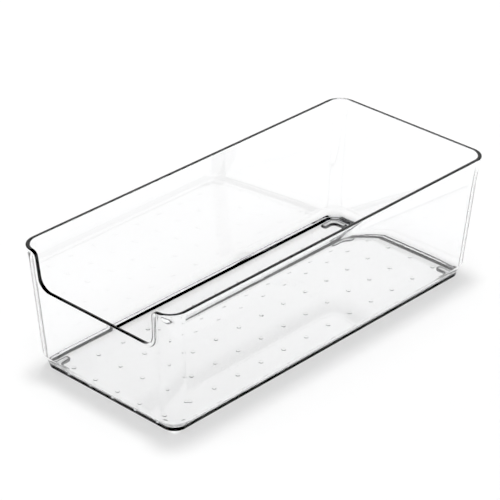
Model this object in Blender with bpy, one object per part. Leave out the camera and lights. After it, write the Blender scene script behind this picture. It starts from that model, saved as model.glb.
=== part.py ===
"""Clear open storage bin with a cut-out front, a dotted floor and four corner feet.

Metres, +Z up. The origin is under the middle of the bin, on the surface that it stands on.
The length runs along Y and the cut-out is in the wall at -Y.
"""
import math

import bmesh
import bpy
from mathutils import Matrix, Vector

# Overall size, over the rim
LENGTH = 0.300
WIDTH = 0.132
HEIGHT = 0.090

# Walls and floor of the body
WALL = 0.0021
FLOOR = 0.0024
SIDE_DRAFT = math.radians(2.6)
END_DRAFT = math.radians(5.0)
CORNER_RADIUS = 0.012
BASE_ROUNDING = 0.006
CORNER_STEPS = 8
ROUNDING_STEPS = 4

# Bead round the rim, which also follows the cut-out
BEAD_OVERHANG = 0.0010
BEAD_DEPTH = 0.0028
BEAD_CHAMFER = 0.0005
BEAD_INNER_CORNER = 0.0004

# Cut-out in the front wall, its width taken half way down
CUT_WIDTH = 0.0984
CUT_DEPTH = 0.0265
CUT_SIDE_LEAN = math.radians(0.9)
CUT_SILL_RADIUS = 0.0085
CUT_ARC_STEPS = 6

# Raised dots on the floor
DOT_PITCH_X = 0.0196
DOT_PITCH_Y = 0.0214
DOT_MARGIN = 0.0065
DOT_DIAMETER = 0.0034
DOT_HEIGHT = 0.0006
DOT_SIDES = 8
DOT_SHOULDER_SHARE = 0.7
DOT_CROWN_SHARE = 0.35

# Feet under the corners
FOOT_HEIGHT = 0.0020
FOOT_WIDTH = 0.0050
FOOT_LEG = 0.0140
FOOT_EDGE_MARGIN = 0.0004
FOOT_CHAMFER = 0.0004
FOOT_BOND = 0.0003
FOOT_CORNER_STEPS = 6

# Least step between two places along the rim
SEAM_STEP = 0.0002

# Looks of the two plastics
SHARP_ANGLE = math.radians(30)
BODY_COLOUR = (0.93, 0.95, 0.97, 1.0)
BODY_ROUGHNESS = 0.03
FOOT_COLOUR = (0.86, 0.89, 0.92, 1.0)
FOOT_ROUGHNESS = 0.18

# Worked out from the sizes above
UNDERSIDE = FOOT_HEIGHT
FLOOR_TOP = UNDERSIDE + FLOOR
INNER_ROUNDING = BASE_ROUNDING - WALL
BEAD_FOOT = BEAD_DEPTH + BEAD_OVERHANG
CUT_RIM_RADIUS = BEAD_FOOT + BEAD_INNER_CORNER
CUT_SIDE_TILT = SIDE_DRAFT + CUT_SIDE_LEAN
QUARTER = math.pi / 2
MIDDLE_SHARE = 0.5

# Corners counted round the bin as seen from above, from the right front one
CORNER_SIGNS = ((1, -1), (1, 1), (-1, 1), (-1, -1))
FRONT_RIGHT, REAR_RIGHT, REAR_LEFT, FRONT_LEFT = range(4)
FOOT_NAMES = {
    FRONT_RIGHT: "foot_front_right",
    REAR_RIGHT: "foot_rear_right",
    REAR_LEFT: "foot_rear_left",
    FRONT_LEFT: "foot_front_left",
}


def clear_scene():
    for item in list(bpy.data.objects):
        bpy.data.objects.remove(item, do_unlink=True)


def plastic(name, colour, roughness):
    material = bpy.data.materials.new(name)
    material.use_nodes = True
    shader = material.node_tree.nodes["Principled BSDF"]
    shader.inputs["Base Color"].default_value = colour
    shader.inputs["Roughness"].default_value = roughness
    shader.inputs["Metallic"].default_value = 0.0
    return material


def new_object(name, mesh_builder, material):
    mesh = bpy.data.meshes.new(name)
    mesh_builder.to_mesh(mesh)
    mesh_builder.free()
    item = bpy.data.objects.new(name, mesh)
    bpy.context.collection.objects.link(item)
    if material is not None:
        mesh.materials.append(material)
    return item


def wall_outline(height):
    """Half width and half length of the wall's outer face at a height."""
    below_rim = HEIGHT - height
    half_x = WIDTH / 2 - BEAD_OVERHANG - below_rim * math.tan(SIDE_DRAFT)
    half_y = LENGTH / 2 - BEAD_OVERHANG - below_rim * math.tan(END_DRAFT)
    return half_x, half_y


def corner_point(corner, share, height, offset):
    """Point on a corner's arc, moved outward by an offset."""
    half_x, half_y = wall_outline(height)
    sign_x, sign_y = CORNER_SIGNS[corner]
    angle = (corner - 1 + share) * QUARTER
    reach = CORNER_RADIUS + offset
    x = sign_x * (half_x - CORNER_RADIUS) + reach * math.cos(angle)
    y = sign_y * (half_y - CORNER_RADIUS) + reach * math.sin(angle)
    return Vector((x, y, height))


def wall_point(place, height, offset):
    """Point of the wall at a place round the bin: on a corner, or on the side that follows it."""
    kind, corner, share = place
    if kind == "corner":
        return corner_point(corner, share, height, offset)
    start = corner_point(corner, 1.0, height, offset)
    end = corner_point((corner + 1) % len(CORNER_SIGNS), 0.0, height, offset)
    return start.lerp(end, share)


def front_place(along, height):
    """Place of a length measured along the front wall from its middle, round the corners too."""
    half_x, _ = wall_outline(height)
    straight = half_x - CORNER_RADIUS
    turn = CORNER_RADIUS * QUARTER
    if along > straight:
        return "corner", FRONT_RIGHT, (along - straight) / turn
    if along < -straight:
        return "corner", FRONT_LEFT, 1.0 + (along + straight) / turn
    return "side", FRONT_LEFT, (along / straight + 1.0) / 2


def cut_side(height):
    """Distance from the middle to the cut-out's side at a height."""
    return CUT_WIDTH / 2 + (height - HEIGHT + CUT_DEPTH / 2) * math.tan(CUT_SIDE_TILT)


def arc(centre_along, centre_height, radius, start, end, outward):
    """Edge samples on an arc: length along the wall, height and the direction out of the plastic."""
    samples = []
    for step in range(CUT_ARC_STEPS + 1):
        angle = start + (end - start) * step / CUT_ARC_STEPS
        across, up = math.cos(angle), math.sin(angle)
        samples.append((centre_along + radius * across, centre_height + radius * up,
                        outward * across, outward * up))
    return samples


def front_edge_half():
    """Edge of the front wall from the middle of the sill to the end of the right corner."""
    sill_centre = HEIGHT - CUT_DEPTH + CUT_SILL_RADIUS
    sill_along = cut_side(sill_centre) - CUT_SILL_RADIUS / math.cos(CUT_SIDE_TILT)
    rim_centre = HEIGHT - CUT_RIM_RADIUS
    rim_along = cut_side(rim_centre) + CUT_RIM_RADIUS / math.cos(CUT_SIDE_TILT)
    samples = [(0.0, HEIGHT - CUT_DEPTH, 0.0, 1.0)]
    samples += arc(sill_along, sill_centre, CUT_SILL_RADIUS, -QUARTER, -CUT_SIDE_TILT, -1)
    samples += arc(rim_along, rim_centre, CUT_RIM_RADIUS, math.pi - CUT_SIDE_TILT, QUARTER, 1)
    half_x, _ = wall_outline(HEIGHT)
    for step in range(CORNER_STEPS + 1):
        along = half_x - CORNER_RADIUS + CORNER_RADIUS * QUARTER * step / CORNER_STEPS
        if along > rim_along + SEAM_STEP:
            samples.append((along, HEIGHT, 0.0, 1.0))
    return samples


def front_edge():
    right = front_edge_half()
    left = [(-along, height, -across, up) for along, height, across, up in reversed(right[1:])]
    return left + right


def plain_edge_places():
    """Places round the right side, the back and the left side, between the two front corners."""
    places = [("side", FRONT_RIGHT, MIDDLE_SHARE)]
    for corner in (REAR_RIGHT, REAR_LEFT):
        places += [("corner", corner, step / CORNER_STEPS) for step in range(CORNER_STEPS + 1)]
        places.append(("side", corner, MIDDLE_SHARE))
    return places


def front_sample(sample, depth):
    """Place and height of an edge sample, moved a depth into the plastic."""
    along, height, across, up = sample
    level = height - depth * up
    return front_place(along - depth * across, level), level


def plain_sample(place, depth):
    return place, HEIGHT - depth


def base_rounding():
    """Height and offset of the outer rounding, from the underside up to the wall."""
    angles = [QUARTER * (1 - step / ROUNDING_STEPS) for step in range(ROUNDING_STEPS + 1)]
    return [(UNDERSIDE + BASE_ROUNDING * (1 - math.sin(a)), -BASE_ROUNDING * (1 - math.cos(a)))
            for a in angles]


def floor_rounding():
    """Height and offset of the inner rounding, from the wall down to the floor."""
    angles = [QUARTER * step / ROUNDING_STEPS for step in range(ROUNDING_STEPS + 1)]
    return [(FLOOR_TOP + INNER_ROUNDING * (1 - math.sin(a)), -WALL - INNER_ROUNDING * (1 - math.cos(a)))
            for a in angles]


def bead_profile():
    """Depth below the edge and offset from the wall's outer face, over the bead to the inside."""
    return [
        (BEAD_FOOT, 0.0),
        (BEAD_DEPTH, BEAD_OVERHANG),
        (BEAD_CHAMFER, BEAD_OVERHANG),
        (0.0, BEAD_OVERHANG - BEAD_CHAMFER),
        (0.0, BEAD_CHAMFER - WALL),
        (BEAD_CHAMFER, -WALL),
    ]


def wall_column(sampler, sample):
    """Points from the underside up the outer face, over the bead and down to the floor."""
    outer_place, _ = sampler(sample, BEAD_FOOT)
    inner_place, _ = sampler(sample, BEAD_CHAMFER)
    points = [wall_point(outer_place, height, offset) for height, offset in base_rounding()]
    for depth, offset in bead_profile():
        place, height = sampler(sample, depth)
        points.append(wall_point(place, height, offset))
    points += [wall_point(inner_place, height, offset) for height, offset in floor_rounding()]
    return points


def shell_mesh():
    """The body without its dots, as columns of points joined round the bin."""
    columns = [wall_column(front_sample, sample) for sample in front_edge()]
    columns += [wall_column(plain_sample, place) for place in plain_edge_places()]
    builder = bmesh.new()
    grid = [[builder.verts.new(point) for point in column] for column in columns]
    for this, following in zip(grid, grid[1:] + grid[:1]):
        for row in range(len(this) - 1):
            builder.faces.new((this[row], following[row], following[row + 1], this[row + 1]))
    builder.faces.new([column[0] for column in reversed(grid)])
    builder.faces.new([column[-1] for column in grid])
    bmesh.ops.recalc_face_normals(builder, faces=builder.faces)
    return builder


def dot_centres():
    """Middles of the dots: a centred grid that keeps its margin from the floor's rounding."""
    half_x, half_y = wall_outline(FLOOR_TOP)
    inset = WALL + INNER_ROUNDING + DOT_MARGIN
    columns = int(2 * (half_x - inset) / DOT_PITCH_X) + 1
    rows = int(2 * (half_y - inset) / DOT_PITCH_Y) + 1
    for row in range(rows):
        for column in range(columns):
            yield ((column - (columns - 1) / 2) * DOT_PITCH_X,
                   (row - (rows - 1) / 2) * DOT_PITCH_Y)


def ring(builder, centre, radius, height):
    points = []
    for side in range(DOT_SIDES):
        angle = 2 * math.pi * side / DOT_SIDES
        points.append(builder.verts.new((centre[0] + radius * math.cos(angle),
                                         centre[1] + radius * math.sin(angle), height)))
    return points


def add_dot(builder, centre):
    """A low dome whose root reaches into the floor."""
    radius = DOT_DIAMETER / 2
    shoulder = radius * DOT_SHOULDER_SHARE
    crown = radius * DOT_CROWN_SHARE
    rings = [
        ring(builder, centre, radius, FLOOR_TOP - DOT_HEIGHT),
        ring(builder, centre, radius, FLOOR_TOP),
        ring(builder, centre, shoulder, FLOOR_TOP + DOT_HEIGHT * DOT_SHOULDER_SHARE),
        ring(builder, centre, crown, FLOOR_TOP + DOT_HEIGHT),
    ]
    builder.faces.new(list(reversed(rings[0])))
    builder.faces.new(rings[-1])
    for lower, upper in zip(rings, rings[1:]):
        for side in range(DOT_SIDES):
            after = (side + 1) % DOT_SIDES
            builder.faces.new((lower[side], lower[after], upper[after], upper[side]))


def make_body():
    body = new_object("bin_body", shell_mesh(), plastic("clear_body", BODY_COLOUR, BODY_ROUGHNESS))
    dots = bmesh.new()
    for centre in dot_centres():
        add_dot(dots, centre)
    cutter = new_object("dot_shapes", dots, None)
    cutter.hide_render = True
    cutter.display_type = "WIRE"
    union = body.modifiers.new("dots", "BOOLEAN")
    union.operation = "UNION"
    union.solver = "EXACT"
    union.object = cutter
    body.data.shade_smooth()
    body.data.set_sharp_from_angle(angle=SHARP_ANGLE)
    return body


def foot_outline():
    """Plan of the right front foot, following the rounded edge of the flat underside."""
    half_x, half_y = wall_outline(UNDERSIDE)
    edge_x = half_x - BASE_ROUNDING - FOOT_EDGE_MARGIN
    edge_y = half_y - BASE_ROUNDING - FOOT_EDGE_MARGIN
    outer = max(CORNER_RADIUS - BASE_ROUNDING - FOOT_EDGE_MARGIN, FOOT_WIDTH + FOOT_EDGE_MARGIN)
    inner = outer - FOOT_WIDTH
    centre_x = edge_x - outer
    centre_y = -(edge_y - outer)
    points = [(edge_x - FOOT_LEG, -edge_y + FOOT_WIDTH), (edge_x - FOOT_LEG, -edge_y)]
    turns = [-QUARTER + QUARTER * step / FOOT_CORNER_STEPS for step in range(FOOT_CORNER_STEPS + 1)]
    points += [(centre_x + outer * math.cos(a), centre_y + outer * math.sin(a)) for a in turns]
    points += [(edge_x, -edge_y + FOOT_LEG), (edge_x - FOOT_WIDTH, -edge_y + FOOT_LEG)]
    points += [(centre_x + inner * math.cos(a), centre_y + inner * math.sin(a)) for a in reversed(turns)]
    return points


def foot_mesh():
    """The right front foot: its plan drawn up from the ground, with the ground edge eased."""
    builder = bmesh.new()
    plan = builder.faces.new([builder.verts.new((x, y, 0.0)) for x, y in foot_outline()])
    raised = bmesh.ops.extrude_face_region(builder, geom=[plan])
    top = [item for item in raised["geom"] if isinstance(item, bmesh.types.BMVert)]
    bmesh.ops.translate(builder, verts=top, vec=Vector((0.0, 0.0, FOOT_HEIGHT - FOOT_BOND)))
    ground = [edge for edge in builder.edges if all(vert.co.z == 0.0 for vert in edge.verts)]
    bmesh.ops.bevel(builder, geom=ground, offset=FOOT_CHAMFER, segments=1, affect="EDGES")
    bmesh.ops.recalc_face_normals(builder, faces=builder.faces)
    return builder


def make_feet():
    material = plastic("clear_feet", FOOT_COLOUR, FOOT_ROUGHNESS)
    for corner, name in FOOT_NAMES.items():
        sign_x, sign_y = CORNER_SIGNS[corner]
        builder = foot_mesh()
        flip = Matrix.Diagonal((sign_x, -sign_y, 1.0, 1.0))
        bmesh.ops.transform(builder, matrix=flip, verts=builder.verts)
        if sign_x * -sign_y < 0:
            bmesh.ops.reverse_faces(builder, faces=builder.faces)
        new_object(name, builder, material)


def main():
    clear_scene()
    make_body()
    make_feet()


main()
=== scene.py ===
"""Looks of the clear storage bin: its shell, dots and feet, with the floor, the light and the camera.

Metres, +Z up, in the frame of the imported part: the length along Y, the cut-out at -Y.
"""

import math

import bmesh
import bpy
from mathutils import Matrix, Vector


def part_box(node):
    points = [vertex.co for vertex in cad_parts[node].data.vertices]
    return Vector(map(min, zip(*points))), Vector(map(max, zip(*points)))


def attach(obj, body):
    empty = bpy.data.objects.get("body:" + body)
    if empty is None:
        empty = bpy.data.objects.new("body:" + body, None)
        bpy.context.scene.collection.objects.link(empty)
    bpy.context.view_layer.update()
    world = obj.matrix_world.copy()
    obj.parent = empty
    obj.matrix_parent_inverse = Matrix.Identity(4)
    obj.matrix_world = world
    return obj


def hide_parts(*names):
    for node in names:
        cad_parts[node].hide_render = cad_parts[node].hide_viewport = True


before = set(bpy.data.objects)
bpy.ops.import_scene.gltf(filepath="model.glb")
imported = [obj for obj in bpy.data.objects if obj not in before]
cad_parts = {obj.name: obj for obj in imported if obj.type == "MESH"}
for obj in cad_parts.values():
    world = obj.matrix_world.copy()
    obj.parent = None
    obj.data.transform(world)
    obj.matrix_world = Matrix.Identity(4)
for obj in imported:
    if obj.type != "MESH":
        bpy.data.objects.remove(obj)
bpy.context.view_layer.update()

QUARTER = math.pi / 2

# Overall sizes of the body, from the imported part
BODY_LOW, BODY_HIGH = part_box("bin_body")
WIDTH = 2 * BODY_HIGH.x
LENGTH = 2 * BODY_HIGH.y
HEIGHT = BODY_HIGH.z
UNDERSIDE = BODY_LOW.z

# Corners in the order of a walk round the bin, which the feet follow too
CORNER_SIGNS = ((1, -1), (1, 1), (-1, 1), (-1, -1))
FRONT_RIGHT, REAR_RIGHT, REAR_LEFT, FRONT_LEFT = range(4)
FOOT_NAMES = ("foot_front_right", "foot_rear_right", "foot_rear_left", "foot_front_left")

# Walls and floor of the body
WALL = 0.0019
FLOOR = 0.0013
SIDE_DRAFT = math.radians(2.6)
END_DRAFT = math.radians(5.0)
CORNER_RADIUS = 0.012
FLOOR_TOP = UNDERSIDE + FLOOR

# Outer edge of the base: a curve from the wall in to a crisp edge over a short upright face
BASE_INSET = 0.0032
BASE_RISE = 0.0071
BASE_UPRIGHT = 0.0026
BASE_FULLNESS_SHARE = 0.17
INNER_ROUNDING = 0.0072

# Bead round the rim and the cut-out
BEAD_OVERHANG = 0.0009
BEAD_DEPTH = 0.0025
BEAD_OUTER_ROUNDING = 0.0005
BEAD_INNER_ROUNDING = 0.0006

# Flare of the outer wall below the bead, which grows along the front from its least depth over a run
FLARE_DEPTH = 0.0180
FLARE_LEAST = 0.0008
FLARE_START = 0.0550
FLARE_RUN = 0.0120

# Cut-out in the front wall, with its width taken halfway down
CUT_WIDTH = 0.0984
CUT_DEPTH = 0.0265
CUT_SIDE_TILT = SIDE_DRAFT + math.radians(0.9)
CUT_SILL_RADIUS = 0.0085
CUT_RIM_RADIUS = 0.0042

# Raised dots on the floor
DOT_PITCH_X = 0.0196
DOT_PITCH_Y = 0.0214
DOT_COLUMNS = 5
DOT_ROWS = 13
DOT_DIAMETER = 0.0029
DOT_HEIGHT = 0.0004
DOT_EDGE = 0.00015
DOT_ROOT = 0.0006

# Feet: L-shaped, with their sides and a ring on top in a near-black material, painted shade for the dark
# outlines that the clear feet show through the plastic
FOOT_WIDTH = 0.0050
FOOT_CORNER = 0.0054
FOOT_END_CORNER = 0.0018
FOOT_INNER_CORNER = 0.0030
FOOT_EDGE_ROUNDING = 0.0004
FOOT_RING = 0.0012
# Near-black painted shade on the foot sides and ring, standing in for their dark outlines
FOOT_PAINTED_EDGE_SHADE = 0.01
FOOT_PAINTED_SHADE_SLOT = 1

# Fineness of the shapes
CORNER_STEPS = 20
ROUNDING_STEPS = 10
CUT_ARC_STEPS = 14
BEAD_STEPS = 4
FLARE_STEPS = 6
FOOT_STEPS = 8
EDGE_STEPS = 3
DOT_SIDES = 24
WALL_ROWS = 4
SIDE_COLUMNS = 4
SEAM_STEP = 0.0002
SHARP_ANGLE = math.radians(30.0)
NORMAL_WEIGHT = 100

# Plastic, whose roughness runs between the two values of a pair
PLASTIC_SHADE = 1.0
PLASTIC_IOR = 1.57
PLASTIC_TINT = (0.80, 0.86, 0.95, 1.0)
PLASTIC_DENSITY = 12.0
BODY_ROUGHNESS = (0.0, 0.004)
FOOT_ROUGHNESS = (0.03, 0.08)
FOOT_PAINTED_EDGE_ROUGHNESS = (0.25, 0.45)
NOISE_SCALE = 60.0
NOISE_DETAIL = 2.0
WAVE_STRENGTH = 0.02
WAVE_DEPTH = 0.0001

# Floor under the bin, a little below its feet
FLOOR_SHADE = 0.9
FLOOR_REACH = 4.0
FLOOR_DROP = 0.0002

# Lamps
FILL_STRENGTH = 1.48
KEY_STRENGTH = 0.86
KEY_ANGLE = math.radians(12.0)
KEY_AZIMUTH = math.radians(135.0)
KEY_ELEVATION = math.radians(85.5)
BEAM_POWER = 0.03
BEAM_HEIGHT = 0.12
BEAM_SPREAD = math.radians(1.0)
BEAM_MARGIN = 0.0025

# Surroundings: bands of light and dark, with heights as shares of the radius of a sphere round the bin
SURROUND_LOW = 0.90
SURROUND_DARK = 0.01
SURROUND_TOP = 0.70
SURROUND_HEIGHT_SHARES = (0.50, 0.58, 0.86, 0.92)

# Flags: grey cards beside the two corners at the sides of the picture
FLAG_GAP = 0.0008
FLAG_LENGTH = 0.011
FLAG_TOP = 0.078
FLAG_SHADE = 0.25

# Tone that is shown as black
BLACK_LEVEL = 0.04

# Camera, as fitted to the photograph
CAMERA_PLACE = Vector((0.88122, -0.97167, 0.78043))
CAMERA_YAW = math.radians(42.525)
CAMERA_PITCH = math.radians(29.063)
CAMERA_ROLL = math.radians(0.98)
CAMERA_LENS = 167.87
CLIP_START = 0.01
CLIP_END = 20.0


def quarter_turn(steps):
    """Angles of a quarter turn in equal steps, both ends included."""
    return [QUARTER * step / steps for step in range(steps + 1)]


def wall_outline(height):
    """Half the width and half the length over the outer walls at a height."""
    below_rim = HEIGHT - height
    half_x = WIDTH / 2 - BEAD_OVERHANG - below_rim * math.tan(SIDE_DRAFT)
    half_y = LENGTH / 2 - BEAD_OVERHANG - below_rim * math.tan(END_DRAFT)
    return half_x, half_y


def corner_point(corner, share, height, offset):
    """A point outside a rounded corner by the offset, a share of the way round it."""
    half_x, half_y = wall_outline(height)
    sign_x, sign_y = CORNER_SIGNS[corner]
    angle = (corner - 1 + share) * QUARTER
    reach = CORNER_RADIUS + offset
    x = sign_x * (half_x - CORNER_RADIUS) + reach * math.cos(angle)
    y = sign_y * (half_y - CORNER_RADIUS) + reach * math.sin(angle)
    return Vector((x, y, height))


def wall_point(place, height, offset):
    """A point of the wall. A place is a corner, or the side after it, and a share of the way along."""
    kind, corner, share = place
    if kind == "corner":
        return corner_point(corner, share, height, offset)
    start = corner_point(corner, 1.0, height, offset)
    end = corner_point((corner + 1) % len(CORNER_SIGNS), 0.0, height, offset)
    return start.lerp(end, share)


def front_place(along, height):
    """The place at a distance from the middle of the front wall, which runs on round its corners."""
    half_x, _ = wall_outline(height)
    straight = half_x - CORNER_RADIUS
    turn = CORNER_RADIUS * QUARTER
    if along > straight:
        return "corner", FRONT_RIGHT, (along - straight) / turn
    if along < -straight:
        return "corner", FRONT_LEFT, 1.0 + (along + straight) / turn
    return "side", FRONT_LEFT, (along / straight + 1.0) / 2


def cut_side(height):
    """Distance from the middle to the side of the cut-out at a height."""
    return CUT_WIDTH / 2 + (height - HEIGHT + CUT_DEPTH / 2) * math.tan(CUT_SIDE_TILT)


def arc(centre_along, centre_height, radius, start, end, outward):
    """Samples round an arc of the edge: distance along, height, and the way out of the wall there."""
    samples = []
    for step in range(CUT_ARC_STEPS + 1):
        angle = start + (end - start) * step / CUT_ARC_STEPS
        across, up = math.cos(angle), math.sin(angle)
        samples.append((centre_along + radius * across, centre_height + radius * up,
                        outward * across, outward * up))
    return samples


def front_edge():
    """Samples of the front's top edge from left to right, down through the cut-out and up again."""
    sill_centre = HEIGHT - CUT_DEPTH + CUT_SILL_RADIUS
    sill_along = cut_side(sill_centre) - CUT_SILL_RADIUS / math.cos(CUT_SIDE_TILT)
    rim_centre = HEIGHT - CUT_RIM_RADIUS
    rim_along = cut_side(rim_centre) + CUT_RIM_RADIUS / math.cos(CUT_SIDE_TILT)
    right = [(sill_along * step / SIDE_COLUMNS, HEIGHT - CUT_DEPTH, 0.0, 1.0)
             for step in range(SIDE_COLUMNS)]
    right += arc(sill_along, sill_centre, CUT_SILL_RADIUS, -QUARTER, -CUT_SIDE_TILT, -1)
    right += arc(rim_along, rim_centre, CUT_RIM_RADIUS, math.pi - CUT_SIDE_TILT, QUARTER, 1)
    half_x, _ = wall_outline(HEIGHT)
    for step in range(CORNER_STEPS + 1):
        along = half_x - CORNER_RADIUS + CORNER_RADIUS * QUARTER * step / CORNER_STEPS
        if along > rim_along + SEAM_STEP:
            right.append((along, HEIGHT, 0.0, 1.0))
    left = [(-along, height, -across, up) for along, height, across, up in reversed(right[1:])]
    return left + right


def plain_edge_places():
    """Places of the level edge, from the right side round the back to the left side."""
    shares = [step / SIDE_COLUMNS for step in range(1, SIDE_COLUMNS)]
    places = [("side", FRONT_RIGHT, share) for share in shares]
    for corner in (REAR_RIGHT, REAR_LEFT):
        places += [("corner", corner, step / CORNER_STEPS) for step in range(CORNER_STEPS + 1)]
        places += [("side", corner, share) for share in shares]
    return places


def front_sample(sample, depth):
    """Place and height at a depth inside the front's edge."""
    along, height, across, up = sample
    level = height - depth * up
    return front_place(along - depth * across, level), level


def plain_sample(place, depth):
    """Place and height at a depth below the level edge."""
    return place, HEIGHT - depth


def front_flare(along):
    """Depth of the flare under the front's edge: least round the cut-out, eased in towards the corners."""
    run = min(max((abs(along) - FLARE_START) / FLARE_RUN, 0.0), 1.0)
    eased = run * run * (3 - 2 * run)
    return FLARE_LEAST + (FLARE_DEPTH - FLARE_LEAST) * eased


def base_profile():
    """Height and offset of the base's outer edge, from the underside up to the wall."""
    low = UNDERSIDE + BASE_UPRIGHT
    corner = Vector((low, 0.0))
    start = Vector((low, -BASE_INSET))
    end = Vector((low + BASE_RISE, 0.0))
    middle = ((start + end) / 2).lerp(corner, BASE_FULLNESS_SHARE)
    points = [(UNDERSIDE, -BASE_INSET)]
    for step in range(ROUNDING_STEPS + 1):
        share = step / ROUNDING_STEPS
        point = start.lerp(middle, share).lerp(middle.lerp(end, share), share)
        points.append((point.x, point.y))
    return points


def floor_profile():
    """Height and offset of the inner rounding, from the wall down to the floor."""
    points = []
    for turn in quarter_turn(ROUNDING_STEPS):
        height = FLOOR_TOP + INNER_ROUNDING * (1 - math.sin(turn))
        inward = WALL + INNER_ROUNDING * (1 - math.cos(turn))
        points.append((height, -inward))
    return points


def bead_profile(flare):
    """Depth inside the edge and offset from the outer face: up the flare and over the bead."""
    points = []
    for step in range(FLARE_STEPS + 1):
        share = step / FLARE_STEPS
        points.append((BEAD_DEPTH + flare * (1 - share), BEAD_OVERHANG * share ** 2))
    for turn in quarter_turn(BEAD_STEPS):
        inward = BEAD_OUTER_ROUNDING * (1 - math.cos(turn))
        points.append((BEAD_OUTER_ROUNDING * (1 - math.sin(turn)), BEAD_OVERHANG - inward))
    for turn in quarter_turn(BEAD_STEPS):
        outward = BEAD_INNER_ROUNDING * (1 - math.sin(turn))
        points.append((BEAD_INNER_ROUNDING * (1 - math.cos(turn)), outward - WALL))
    return points


def between(low, high):
    """Heights that divide a stretch of wall into rows, without its ends."""
    return [low + (high - low) * row / WALL_ROWS for row in range(1, WALL_ROWS)]


def wall_column(sampler, sample, flare):
    """Points from the underside up the outer face, over the bead and down to the floor."""
    outer_place, outer_top = sampler(sample, BEAD_DEPTH + flare)
    inner_place, inner_top = sampler(sample, BEAD_INNER_ROUNDING)
    base, floor = base_profile(), floor_profile()
    points = [wall_point(outer_place, height, offset) for height, offset in base]
    points += [wall_point(outer_place, height, 0.0) for height in between(base[-1][0], outer_top)]
    for depth, offset in bead_profile(flare):
        place, height = sampler(sample, depth)
        points.append(wall_point(place, height, offset))
    points += [wall_point(inner_place, height, -WALL) for height in between(inner_top, floor[0][0])]
    points += [wall_point(inner_place, height, offset) for height, offset in floor]
    return points


def shell_builder():
    """The body as one closed skin: a ring of wall columns, the underside and the floor."""
    columns = [wall_column(front_sample, sample, front_flare(sample[0])) for sample in front_edge()]
    columns += [wall_column(plain_sample, place, FLARE_DEPTH) for place in plain_edge_places()]
    builder = bmesh.new()
    grid = [[builder.verts.new(point) for point in column] for column in columns]
    for this, following in zip(grid, grid[1:] + grid[:1]):
        for row in range(len(this) - 1):
            builder.faces.new((this[row], following[row], following[row + 1], this[row + 1]))
    builder.faces.new([column[0] for column in reversed(grid)])
    builder.faces.new([column[-1] for column in grid])
    bmesh.ops.recalc_face_normals(builder, faces=builder.faces)
    return builder


def circle(builder, x, y, radius, height):
    """A ring of points round a dot at a height."""
    ring = []
    for side in range(DOT_SIDES):
        turn = 2 * math.pi * side / DOT_SIDES
        ring.append(builder.verts.new((x + radius * math.cos(turn), y + radius * math.sin(turn), height)))
    return ring


def add_dot(builder, x, y):
    """A low round pip with an eased top edge, whose root reaches into the floor."""
    radius = DOT_DIAMETER / 2
    top = FLOOR_TOP + DOT_HEIGHT
    rings = [circle(builder, x, y, radius, FLOOR_TOP - DOT_ROOT)]
    for turn in quarter_turn(EDGE_STEPS):
        inward = DOT_EDGE * (1 - math.cos(turn))
        down = DOT_EDGE * (1 - math.sin(turn))
        rings.append(circle(builder, x, y, radius - inward, top - down))
    builder.faces.new(list(reversed(rings[0])))
    builder.faces.new(rings[-1])
    for lower, upper in zip(rings, rings[1:]):
        for side in range(DOT_SIDES):
            after = (side + 1) % DOT_SIDES
            builder.faces.new((lower[side], lower[after], upper[after], upper[side]))


def new_object(name, builder, material):
    """An object made of the builder's mesh, with the material if there is one."""
    mesh = bpy.data.meshes.new(name)
    builder.to_mesh(mesh)
    builder.free()
    item = bpy.data.objects.new(name, mesh)
    bpy.context.scene.collection.objects.link(item)
    if material is not None:
        mesh.materials.append(material)
    return item


def grey(shade):
    return shade, shade, shade, 1.0


def shaded_material(name, shade):
    """A material with a grey base colour, and its shader node."""
    material = bpy.data.materials.new(name)
    material.use_nodes = True
    shader = material.node_tree.nodes["Principled BSDF"]
    shader.inputs["Base Color"].default_value = grey(shade)
    return material, shader


def matte_material(name, shade):
    """A dull material for the floor and the cards."""
    material, shader = shaded_material(name, shade)
    shader.inputs["Roughness"].default_value = 1.0
    shader.inputs["Specular IOR Level"].default_value = 0.0
    return material


def vary(material, socket, span):
    """Drives a shader value by fine noise between the two ends of the span."""
    nodes, links = material.node_tree.nodes, material.node_tree.links
    noise = nodes.new("ShaderNodeTexNoise")
    noise.inputs["Scale"].default_value = NOISE_SCALE
    noise.inputs["Detail"].default_value = NOISE_DETAIL
    spread = nodes.new("ShaderNodeMapRange")
    spread.inputs["To Min"].default_value = span[0]
    spread.inputs["To Max"].default_value = span[1]
    links.new(noise.outputs["Fac"], spread.inputs["Value"])
    links.new(spread.outputs["Result"], nodes["Principled BSDF"].inputs[socket])
    return noise


def clear_plastic(name, span):
    """Clear plastic with a faint tint, slightly uneven gloss and a barely wavy surface."""
    material, shader = shaded_material(name, PLASTIC_SHADE)
    nodes, links = material.node_tree.nodes, material.node_tree.links
    shader.inputs["Transmission Weight"].default_value = 1.0
    shader.inputs["IOR"].default_value = PLASTIC_IOR
    noise = vary(material, "Roughness", span)
    bump = nodes.new("ShaderNodeBump")
    bump.inputs["Strength"].default_value = WAVE_STRENGTH
    bump.inputs["Distance"].default_value = WAVE_DEPTH
    links.new(noise.outputs["Fac"], bump.inputs["Height"])
    links.new(bump.outputs["Normal"], shader.inputs["Normal"])
    absorb = nodes.new("ShaderNodeVolumeAbsorption")
    absorb.inputs["Color"].default_value = PLASTIC_TINT
    absorb.inputs["Density"].default_value = PLASTIC_DENSITY
    links.new(absorb.outputs["Volume"], nodes["Material Output"].inputs["Volume"])
    return material


def painted_shade_foot_edge_material():
    """Painted shade on the side of a foot: a near-black colour in place of the dark outline that the clear
    foot shows through the plastic.
    """
    material, _ = shaded_material("foot_painted_edge_shade", FOOT_PAINTED_EDGE_SHADE)
    vary(material, "Roughness", FOOT_PAINTED_EDGE_ROUGHNESS)
    return material


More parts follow.
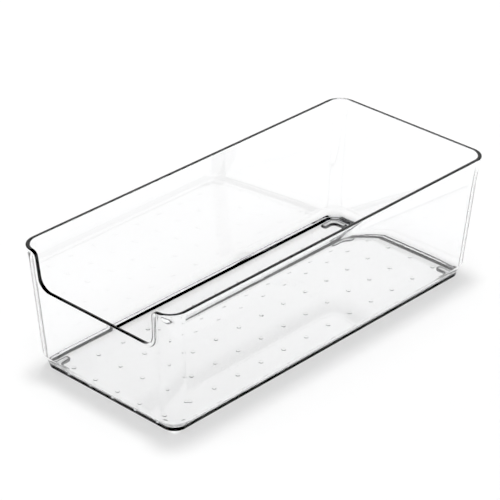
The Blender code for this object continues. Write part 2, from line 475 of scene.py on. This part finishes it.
def make_dots():
    """All dots in one object, to be joined to the shell."""
    builder = bmesh.new()
    for row in range(DOT_ROWS):
        y = (row - (DOT_ROWS - 1) / 2) * DOT_PITCH_Y
        for column in range(DOT_COLUMNS):
            add_dot(builder, (column - (DOT_COLUMNS - 1) / 2) * DOT_PITCH_X, y)
    return new_object("dot_shapes", builder, None)


def applied(item):
    """The item's mesh with its modifiers applied, put in the place of its own."""
    bpy.context.view_layer.update()
    evaluated = item.evaluated_get(bpy.context.evaluated_depsgraph_get())
    mesh = bpy.data.meshes.new_from_object(evaluated)
    item.modifiers.clear()
    item.data = mesh
    return mesh


def make_shell():
    """The shell with the dots joined to it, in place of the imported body."""
    shell = new_object("clear_shell", shell_builder(), clear_plastic("clear_body", BODY_ROUGHNESS))
    dots = make_dots()
    union = shell.modifiers.new("dots", "BOOLEAN")
    union.operation = "UNION"
    union.solver = "EXACT"
    union.object = dots
    mesh = applied(shell)
    bpy.data.objects.remove(dots, do_unlink=True)
    mesh.shade_smooth()
    mesh.set_sharp_from_angle(angle=SHARP_ANGLE)
    weighted = shell.modifiers.new("normals", "WEIGHTED_NORMAL")
    weighted.keep_sharp = True
    weighted.weight = NORMAL_WEIGHT
    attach(shell, "root")
    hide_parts("bin_body")


def foot_plan(leg, inset):
    """Plan of a foot from its outer corner inwards: two legs, corners rounded, all edges moved in."""
    low, width, end = inset, FOOT_WIDTH - inset, leg - inset
    tip, inner = FOOT_END_CORNER - inset, FOOT_INNER_CORNER + inset
    corners = ((low, low, FOOT_CORNER - inset), (low, end, tip), (width, end, tip),
               (width, width, inner), (end, width, tip), (end, low, tip))
    places = [Vector((x, y)) for x, y, _ in corners]
    points = []
    for index, (_, _, radius) in enumerate(corners):
        before = (places[index - 1] - places[index]).normalized() * radius
        after = (places[(index + 1) % len(places)] - places[index]).normalized() * radius
        for turn in quarter_turn(FOOT_STEPS):
            points.append(places[index] + before * (1 - math.sin(turn)) + after * (1 - math.cos(turn)))
    return points


def foot_levels(low, high):
    """Heights of a foot's outlines and how far each is moved in, from the ground up to the ring."""
    levels = []
    for turn in quarter_turn(EDGE_STEPS):
        rise = FOOT_EDGE_ROUNDING * (1 - math.cos(turn))
        levels.append((low + rise, FOOT_EDGE_ROUNDING * (1 - math.sin(turn))))
    return levels + [(high, 0.0), (high, FOOT_RING)]


def foot_builder(low, high):
    """A foot within its box, with an eased edge on the ground, and its sides and ring in the slot of the
    near-black painted shade.
    """
    sign_x = math.copysign(1, high.x + low.x)
    sign_y = math.copysign(1, high.y + low.y)
    outer_x, outer_y = max(abs(low.x), abs(high.x)), max(abs(low.y), abs(high.y))
    builder = bmesh.new()
    rings = []
    for height, inset in foot_levels(low.z, high.z):
        plan = foot_plan(high.x - low.x, inset)
        rings.append([builder.verts.new((sign_x * (outer_x - point.x), sign_y * (outer_y - point.y), height))
                      for point in plan])
    builder.faces.new(rings[0])
    builder.faces.new(rings[-1])
    for lower, upper in zip(rings, rings[1:]):
        for index, point in enumerate(lower):
            after = (index + 1) % len(lower)
            side = builder.faces.new((point, lower[after], upper[after], upper[index]))
            # Sides and top ring take the near-black painted shade
            side.material_index = FOOT_PAINTED_SHADE_SLOT
    bmesh.ops.recalc_face_normals(builder, faces=builder.faces)
    return builder


def make_feet():
    """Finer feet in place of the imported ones."""
    clear = clear_plastic("clear_feet", FOOT_ROUGHNESS)
    # Near-black painted shade for the foot sides and ring
    edge = painted_shade_foot_edge_material()
    for name in FOOT_NAMES:
        low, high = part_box(name)
        foot = new_object("clear_" + name, foot_builder(low, high), clear)
        foot.data.materials.append(edge)
        foot.data.shade_smooth()
        foot.data.set_sharp_from_angle(angle=SHARP_ANGLE)
        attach(foot, "root")
        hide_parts(name)


def make_floor():
    """A plain pale floor."""
    builder = bmesh.new()
    bmesh.ops.create_grid(builder, x_segments=1, y_segments=1, size=FLOOR_REACH)
    floor = new_object("floor", builder, matte_material("floor", FLOOR_SHADE))
    floor.location.z = -FLOOR_DROP


def add_lamp(name, data, place):
    """A lamp aimed at the middle of the bin, kept out of what the plastic mirrors and refracts."""
    lamp = bpy.data.objects.new(name, data)
    lamp.location = place
    lamp.rotation_euler = place.to_track_quat("Z", "Y").to_euler()
    lamp.visible_camera = False
    lamp.visible_glossy = False
    lamp.visible_transmission = False
    bpy.context.scene.collection.objects.link(lamp)


def add_sun(name, direction, strength, angle, shadow):
    data = bpy.data.lights.new(name, "SUN")
    data.energy = strength
    data.angle = angle
    data.use_shadow = shadow
    add_lamp(name, data, direction)


def add_beam():
    """A gentle light straight down on the floor under the bin, within the edge of its base."""
    half_x, half_y = wall_outline(UNDERSIDE)
    beam = bpy.data.lights.new("beam", "AREA")
    beam.shape = "RECTANGLE"
    beam.size = 2 * (half_x - BASE_INSET - BEAM_MARGIN)
    beam.size_y = 2 * (half_y - BASE_INSET - BEAM_MARGIN)
    beam.spread = BEAM_SPREAD
    beam.energy = BEAM_POWER
    beam.use_shadow = False
    add_lamp("beam", beam, Vector((0.0, 0.0, BEAM_HEIGHT)))


def make_lights():
    """An even light without shadows, a soft key from above and a little behind, and the beam."""
    key = Vector((math.cos(KEY_AZIMUTH) * math.cos(KEY_ELEVATION),
                  math.sin(KEY_AZIMUTH) * math.cos(KEY_ELEVATION), math.sin(KEY_ELEVATION)))
    add_sun("fill", Vector((0.0, 0.0, 1.0)), FILL_STRENGTH, 0.0, False)
    add_sun("key", key, KEY_STRENGTH, KEY_ANGLE, True)
    add_beam()


def make_flags():
    """Narrow grey cards where two corners turn sideways to the camera, seen only through the plastic."""
    material = matte_material("flag", FLAG_SHADE)
    run = FLAG_LENGTH * Vector((-math.sin(CAMERA_YAW), math.cos(CAMERA_YAW), 0.0))
    share = CAMERA_YAW / QUARTER
    for name, corner in (("flag_left", FRONT_LEFT), ("flag_right", REAR_RIGHT)):
        low = corner_point(corner, share, 0.0, FLAG_GAP)
        high = corner_point(corner, share, FLAG_TOP, FLAG_GAP)
        builder = bmesh.new()
        builder.faces.new([builder.verts.new(place) for place in (low, low + run, high + run, high)])
        flag = new_object(name, builder, material)
        flag.visible_camera = False
        flag.visible_glossy = False
        flag.visible_diffuse = False
        flag.visible_shadow = False


def make_world():
    """White surroundings at a low height, a dark band above them and a soft light overhead."""
    world = bpy.data.worlds.new("studio")
    bpy.context.scene.world = world
    world.use_nodes = True
    nodes, links = world.node_tree.nodes, world.node_tree.links
    place = nodes.new("ShaderNodeTexCoord")
    split = nodes.new("ShaderNodeSeparateXYZ")
    ramp = nodes.new("ShaderNodeValToRGB")
    links.new(place.outputs["Generated"], split.inputs["Vector"])
    links.new(split.outputs["Z"], ramp.inputs["Fac"])
    links.new(ramp.outputs["Color"], nodes["Background"].inputs["Color"])
    shades = (SURROUND_LOW, SURROUND_DARK, SURROUND_DARK, SURROUND_TOP)
    elements = ramp.color_ramp.elements
    elements.remove(elements[1])
    for index, (share, shade) in enumerate(zip(SURROUND_HEIGHT_SHARES, shades)):
        element = elements[0] if index == 0 else elements.new(share)
        element.position = share
        element.color = grey(shade)


def make_camera():
    """The camera, turned from its yaw, pitch and roll."""
    back = Vector((math.sin(CAMERA_YAW) * math.cos(CAMERA_PITCH),
                   -math.cos(CAMERA_YAW) * math.cos(CAMERA_PITCH), math.sin(CAMERA_PITCH)))
    level_right = Vector((math.cos(CAMERA_YAW), math.sin(CAMERA_YAW), 0.0))
    level_up = back.cross(level_right)
    right = math.cos(CAMERA_ROLL) * level_right + math.sin(CAMERA_ROLL) * level_up
    up = -math.sin(CAMERA_ROLL) * level_right + math.cos(CAMERA_ROLL) * level_up
    data = bpy.data.cameras.new("camera")
    data.lens = CAMERA_LENS
    data.clip_start = CLIP_START
    data.clip_end = CLIP_END
    camera = bpy.data.objects.new("camera", data)
    bpy.context.scene.collection.objects.link(camera)
    turn = Matrix((right, up, back)).transposed()
    camera.matrix_world = Matrix.Translation(CAMERA_PLACE) @ turn.to_4x4()
    bpy.context.scene.camera = camera


def set_tones():
    """A plain view transform that shows the darkest tones as black."""
    view = bpy.context.scene.view_settings
    view.view_transform = "Standard"
    view.use_curve_mapping = True
    view.curve_mapping.black_level = grey(BLACK_LEVEL)[:3]
    view.curve_mapping.update()


make_shell()
make_feet()
make_floor()
make_lights()
make_flags()
make_world()
make_camera()
set_tones()
